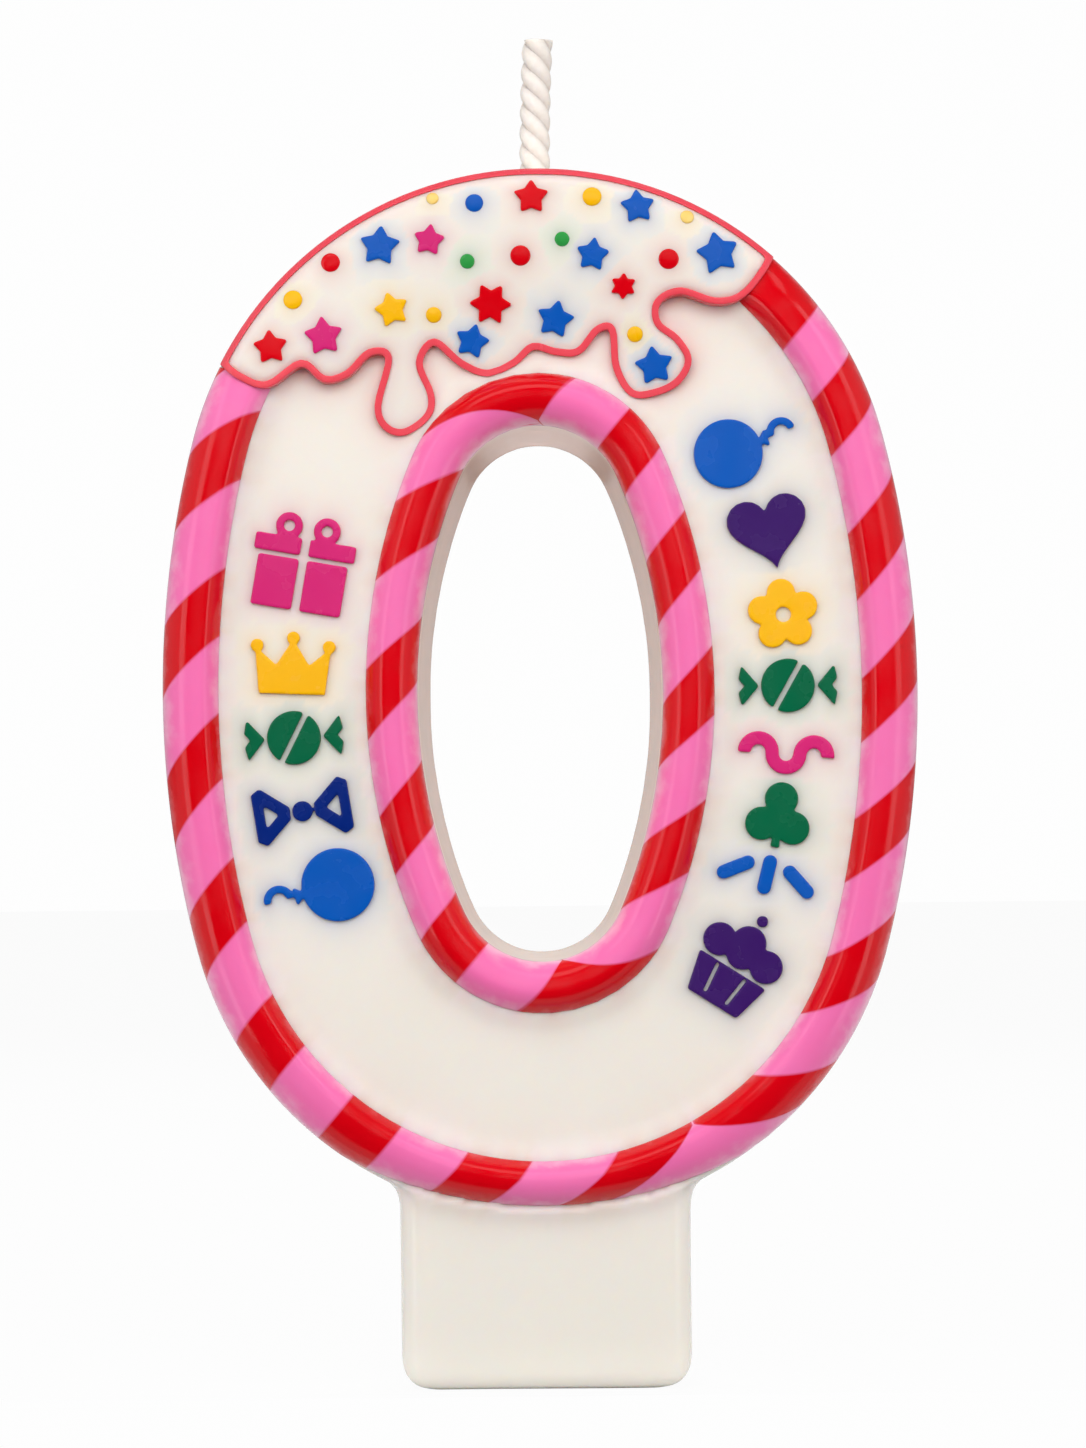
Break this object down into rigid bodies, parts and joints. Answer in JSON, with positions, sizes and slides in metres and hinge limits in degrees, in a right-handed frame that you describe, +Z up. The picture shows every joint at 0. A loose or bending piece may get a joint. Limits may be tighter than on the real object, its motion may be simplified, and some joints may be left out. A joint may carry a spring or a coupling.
{
  "type": "number candle",
  "caption": "Upright wax candle in the shape of the digit zero on a plain foot, with a cord wick, striped rolled borders and raised party decoration on its front.",
  "frame": {"origin": "centre of the object's box at the level of the foot's flat underside", "axes": "+Z up along the wick, +X to the right as seen from the decorated front, and the front faces -Y"},
  "size_m": [0.053, 0.013, 0.0957],
  "materials": {
    "wax_white": "cream white paraffin wax, soft gloss",
    "cotton": "waxed twisted cotton",
    "wax_red": "red wax paint, glossy",
    "wax_pink": "pink wax paint, glossy",
    "wax_coral": "coral red wax line, glossy",
    "wax_blue": "blue wax paint, glossy",
    "wax_navy": "navy wax paint, glossy",
    "wax_purple": "purple wax paint, glossy",
    "wax_green": "green wax paint, glossy",
    "wax_leaf": "leaf green wax paint, glossy",
    "wax_magenta": "magenta wax paint, glossy",
    "wax_yellow": "yellow wax paint, glossy"
  },
  "bodies": {
    "root": {"wax_body": "wax_white", "wick": "cotton", "icing_layer": "wax_white", "icing_outline": "wax_coral", "outer_border_red": "wax_red", "outer_border_pink": "wax_pink", "inner_border_red": "wax_red", "inner_border_pink": "wax_pink", "stars_blue": "wax_blue", "stars_red": "wax_red", "stars_pink": "wax_magenta", "stars_yellow": "wax_yellow", "dots_red": "wax_red", "dots_yellow": "wax_yellow", "dots_green": "wax_leaf", "dots_blue": "wax_blue", "left_gift": "wax_magenta", "left_crown": "wax_yellow", "left_sweet": "wax_green", "left_bow": "wax_navy", "left_balloon": "wax_blue", "right_balloon": "wax_blue", "right_heart": "wax_purple", "right_flower": "wax_yellow", "right_sweet": "wax_green", "right_streamer": "wax_magenta", "right_clover": "wax_green", "right_sprinkles": "wax_blue", "right_cupcake": "wax_purple"}
  },
  "joints": []
}
